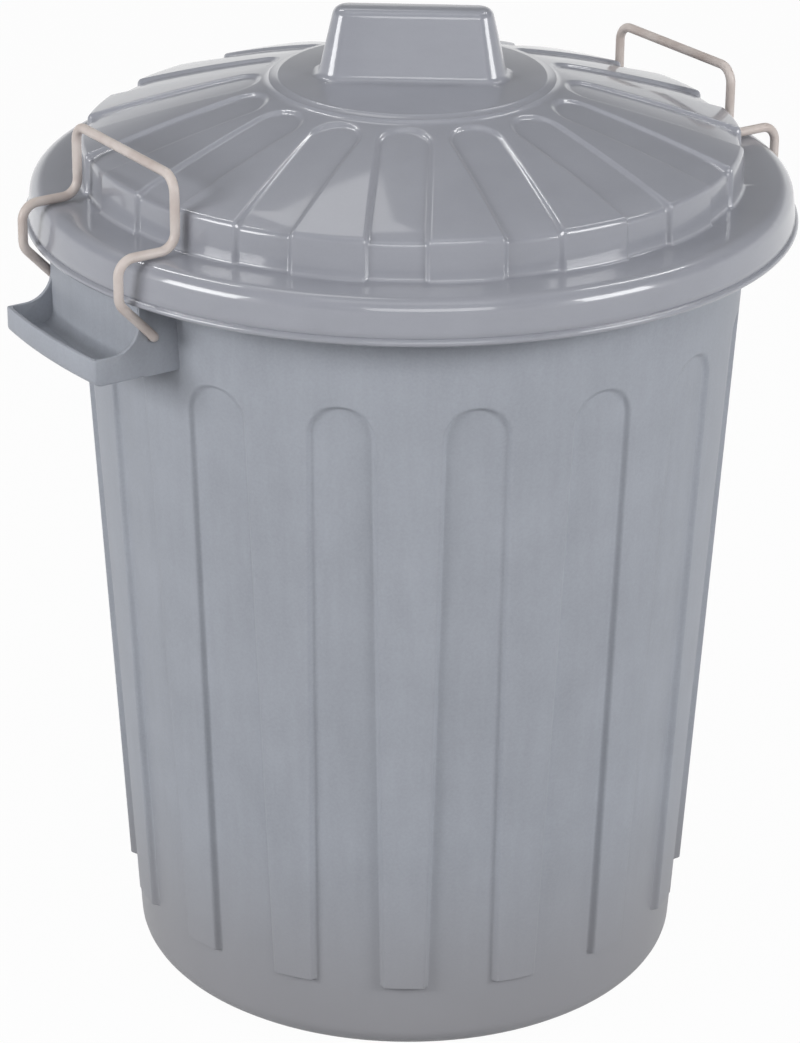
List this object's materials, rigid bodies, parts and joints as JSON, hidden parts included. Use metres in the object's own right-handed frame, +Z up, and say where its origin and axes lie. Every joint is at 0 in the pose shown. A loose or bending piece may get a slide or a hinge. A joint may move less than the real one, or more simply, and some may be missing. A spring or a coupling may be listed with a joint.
{
  "type": "trash can",
  "caption": "Round tapered plastic bin with arched flutes, side handles, a deep-rimmed fluted lid with a block grip, and wire clamps that swing over the lid's rim to hold it shut.",
  "frame": {"origin": "centre of the base, on the floor", "axes": "+Z up along the tub's axis, +X through the right handle and clamp, +Y across"},
  "size_m": [0.4968, 0.4599, 0.6056],
  "materials": {
    "tub_plastic": "satin, finely flecked grey",
    "lid_plastic": "half gloss, finely flecked grey",
    "wire": "smooth beige coating"
  },
  "bodies": {
    "tub": {"tub": "tub_plastic"},
    "lid": {"lid": "lid_plastic"},
    "left_clamp": {"left_clamp": "wire"},
    "right_clamp": {"right_clamp": "wire"}
  },
  "joints": [
    {"name": "lid_lift", "type": "slide", "parent": "tub", "child": "lid", "axis": [0, 0, 1], "range_m": [0, 0.6]},
    {"name": "left_clamp_swing", "type": "hinge", "parent": "tub", "child": "left_clamp", "pos_m": [-0.20796, 0, 0.4595], "axis": [0, -1, 0], "range_deg": [0, 160]},
    {"name": "right_clamp_swing", "type": "hinge", "parent": "tub", "child": "right_clamp", "pos_m": [0.20796, 0, 0.4595], "axis": [0, 1, 0], "range_deg": [0, 160]}
  ]
}
